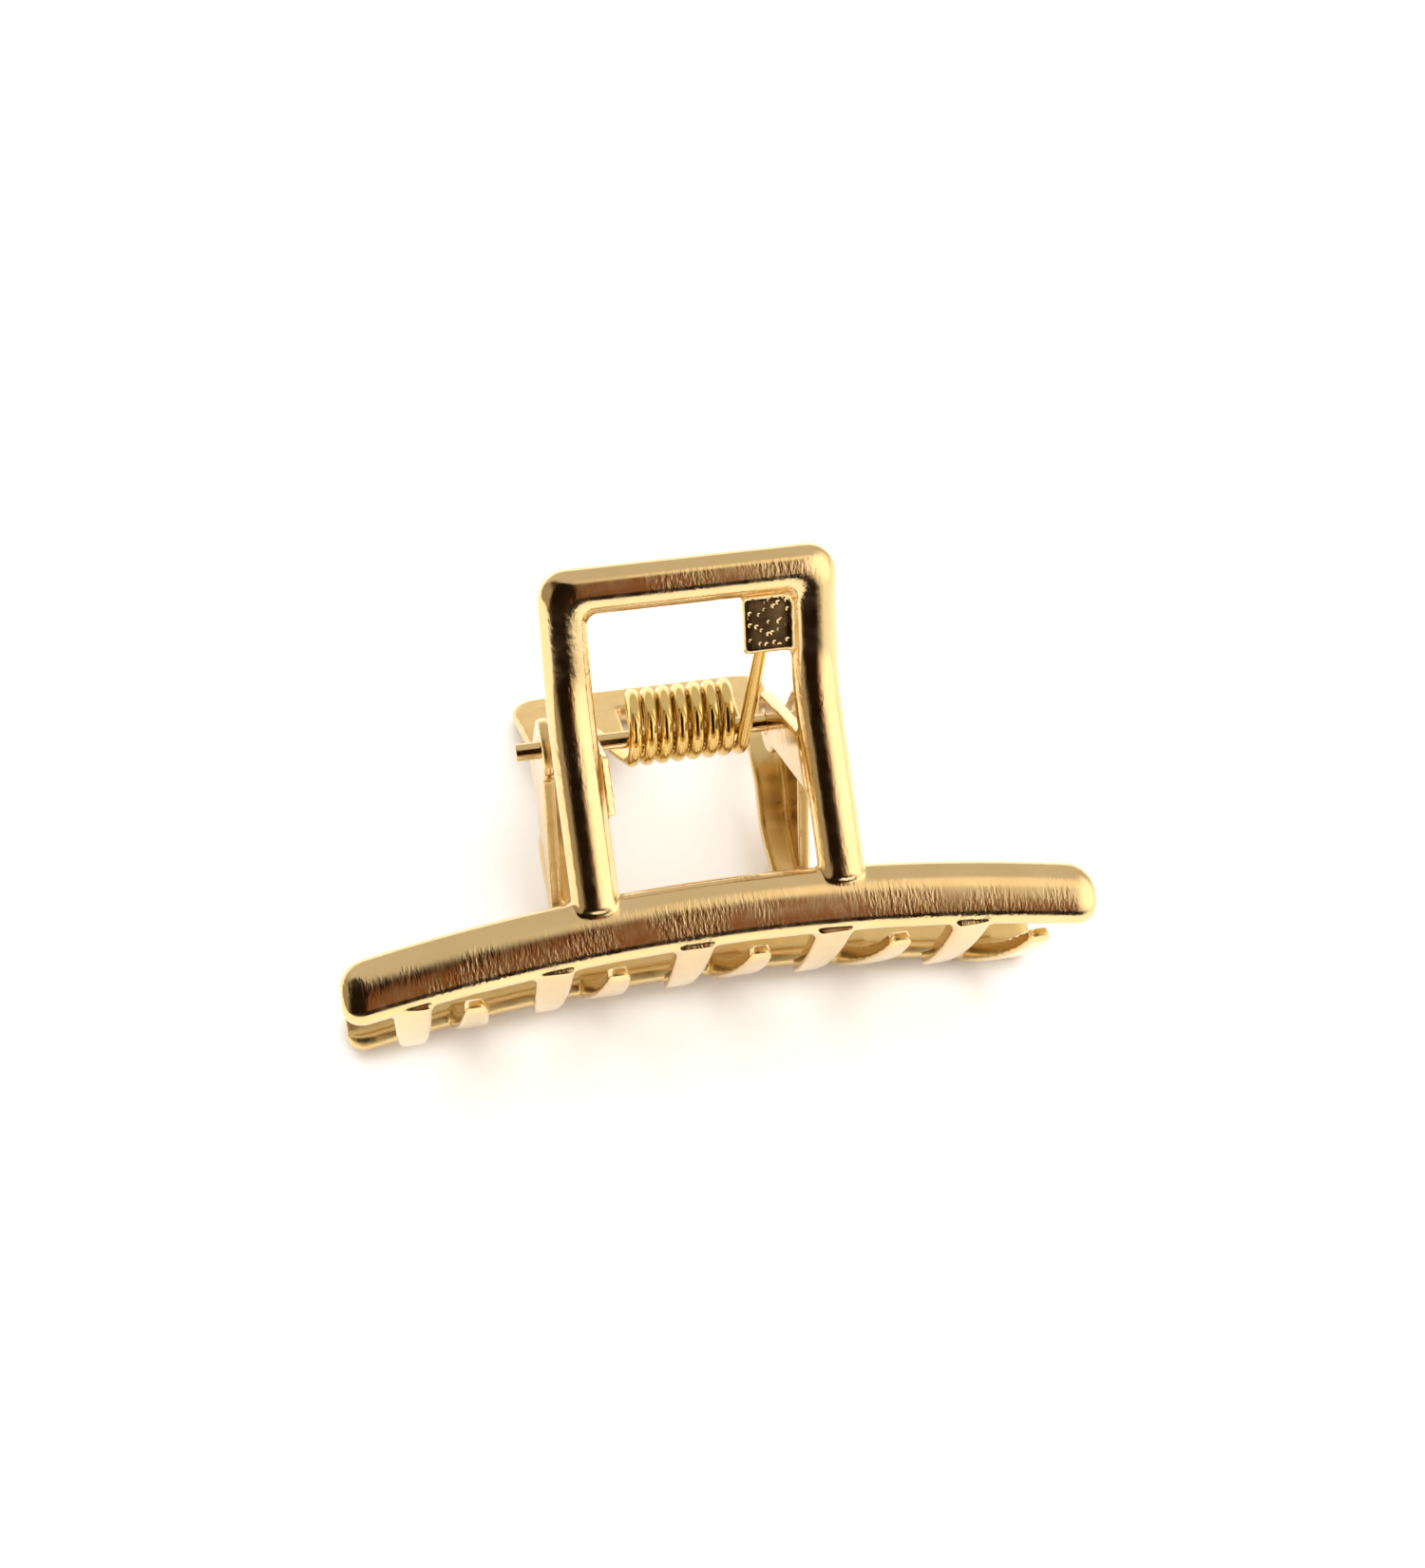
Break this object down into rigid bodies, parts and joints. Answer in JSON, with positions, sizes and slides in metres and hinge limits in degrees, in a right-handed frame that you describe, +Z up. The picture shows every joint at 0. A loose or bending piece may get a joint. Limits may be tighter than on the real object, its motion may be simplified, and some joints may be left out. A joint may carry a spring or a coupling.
{
  "type": "hair claw clip",
  "caption": "Small metal claw clip for hair: two toothed jaws with open square handles on a sprung hinge pin.",
  "frame": {"origin": "centre of the footprint on the table the clip lies on", "axes": "+X along the hinge pin and the toothed bars, -Y towards the bars, +Z up from the table; the clip lies on its rear jaw"},
  "size_m": [0.0458, 0.0286, 0.0289],
  "materials": {
    "front_casting": "polished light gold plating on a zinc casting",
    "rear_casting": "polished light gold plating on a zinc casting",
    "pin": "light gold plating on a steel pin",
    "spring_wire": "light gold plating on spring wire"
  },
  "bodies": {
    "rear_jaw_body": {"rear_jaw": "rear_casting", "hinge_pin": "pin", "torsion_spring": "spring_wire"},
    "front_jaw_body": {"front_jaw": "front_casting"}
  },
  "joints": [
    {"name": "jaw_hinge", "type": "hinge", "parent": "rear_jaw_body", "child": "front_jaw_body", "pos_m": [0, 0.00371, 0.01253], "axis": [-1, 0, 0], "range_deg": [0, 110], "stiffness_Nm_per_rad": 0.05, "springref_deg": -68.75, "deforming": ["torsion_spring"]}
  ]
}
